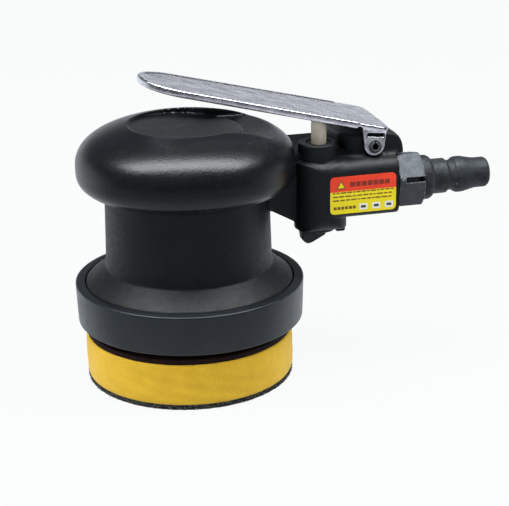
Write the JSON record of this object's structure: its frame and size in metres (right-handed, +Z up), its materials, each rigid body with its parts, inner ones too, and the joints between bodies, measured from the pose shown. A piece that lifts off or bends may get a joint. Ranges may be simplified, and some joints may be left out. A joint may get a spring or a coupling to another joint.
{
  "type": "air random orbital sander",
  "caption": "Palm-grip air sander with a round foam pad, skirt, waisted body, rubber head, tilting lever over the head, side inlet with valve, speed regulator and quick plug.",
  "frame": {"origin": "on the motor spindle's axis, in the plane of the pad's face", "axes": "+Z up the spindle from the pad to the head, +X from the spindle towards the air inlet"},
  "size_m": [0.1588, 0.0872, 0.1166],
  "materials": {
    "housing": "fine matt texture",
    "rubber": "semi-gloss",
    "shroud": "satin",
    "foam": "matt, finely mottled",
    "hook": "fuzzy",
    "fibre": "satin",
    "steel": "ground",
    "chrome": "bright, lightly mottled",
    "brass": "turned",
    "oxide": "dark oxide, worn at the edges",
    "iron": "machined",
    "ivory": "satin",
    "vane": "ground",
    "felt": "felted",
    "label": "printed film"
  },
  "bodies": {
    "housing": {"housing": "housing", "rubber_grip": "rubber", "shroud": "shroud", "lock_ring": "steel", "front_end_plate": "iron", "rear_end_plate": "iron", "cylinder_liner": "iron", "liner_dowel": "steel", "front_bearing_outer_race": "steel", "rear_bearing_outer_race": "steel", "inlet_screen": "brass", "inlet_bushing": "oxide", "quick_plug": "oxide", "valve_bushing": "oxide", "stem_o_ring": "rubber", "valve_seat": "brass", "valve_spring": "steel", "muffler_insert": "felt", "exhaust_cap": "housing", "lever_pin": "steel", "label": "label"},
    "lever": {"lever": "chrome"},
    "valve_stem": {"valve_stem": "ivory", "valve_disc": "rubber", "valve_cup": "brass"},
    "regulator": {"regulator": "oxide", "regulator_o_ring": "rubber"},
    "spindle": {"spindle": "iron", "rotor": "steel", "vane_1": "vane", "vane_2": "vane", "vane_3": "vane", "vane_4": "vane", "vane_5": "vane", "rotor_key": "steel", "front_bearing_inner_race": "steel", "rear_bearing_inner_race": "steel", "pad_bearing_outer_race": "steel", "pad_bearing_ring": "steel"},
    "pad": {"hook_layer": "hook", "foam_pad": "foam", "backing_plate": "fibre", "pad_stud": "steel", "pad_spindle": "steel", "dust_washer": "steel", "spindle_washer": "steel", "spindle_screw": "steel", "pad_bearing_inner_race": "steel"},
    "front_balls": {"front_bearing_balls": "steel"},
    "rear_balls": {"rear_bearing_balls": "steel"},
    "pad_balls": {"pad_bearing_balls": "steel"}
  },
  "joints": [
    {"name": "lever_press", "type": "hinge", "parent": "housing", "child": "lever", "pos_m": [0.0687, 0, 0.0872], "axis": [0, -1, 0], "range_deg": [0, 10.5], "stiffness_Nm_per_rad": 0.12, "springref_deg": -20.05},
    {"name": "valve_slide", "type": "slide", "parent": "housing", "child": "valve_stem", "axis": [0, 0, -1], "range_m": [0, 0.0038], "deforming": ["valve_spring"]},
    {"name": "regulator_turn", "type": "hinge", "parent": "housing", "child": "regulator", "pos_m": [0.04835, -0.011, 0.0557], "axis": [0, 0, 1], "range_deg": [-40, 40]},
    {"name": "spindle_spin", "type": "hinge", "parent": "housing", "child": "spindle", "pos_m": [0, 0, 0.06], "axis": [0, 0, 1], "continuous": true},
    {"name": "pad_spin", "type": "hinge", "parent": "spindle", "child": "pad", "pos_m": [-0.00117, -0.00221, 0.0275], "axis": [0, 0, 1], "continuous": true},
    {"name": "front_balls_spin", "type": "hinge", "parent": "housing", "child": "front_balls", "pos_m": [0, 0, 0.0465], "axis": [0, 0, 1], "continuous": true},
    {"name": "rear_balls_spin", "type": "hinge", "parent": "housing", "child": "rear_balls", "pos_m": [0, 0, 0.0803], "axis": [0, 0, 1], "continuous": true},
    {"name": "pad_balls_spin", "type": "hinge", "parent": "spindle", "child": "pad_balls", "pos_m": [-0.00117, -0.00221, 0.0275], "axis": [0, 0, 1], "continuous": true}
  ],
  "couplings": [
    {"joint": "valve_slide", "follows": "lever_press", "m_per_rad": 0.0203},
    {"joint": "front_balls_spin", "follows": "spindle_spin", "ratio": 0.41},
    {"joint": "rear_balls_spin", "follows": "spindle_spin", "ratio": 0.38},
    {"joint": "pad_balls_spin", "follows": "pad_spin", "ratio": 0.41}
  ]
}
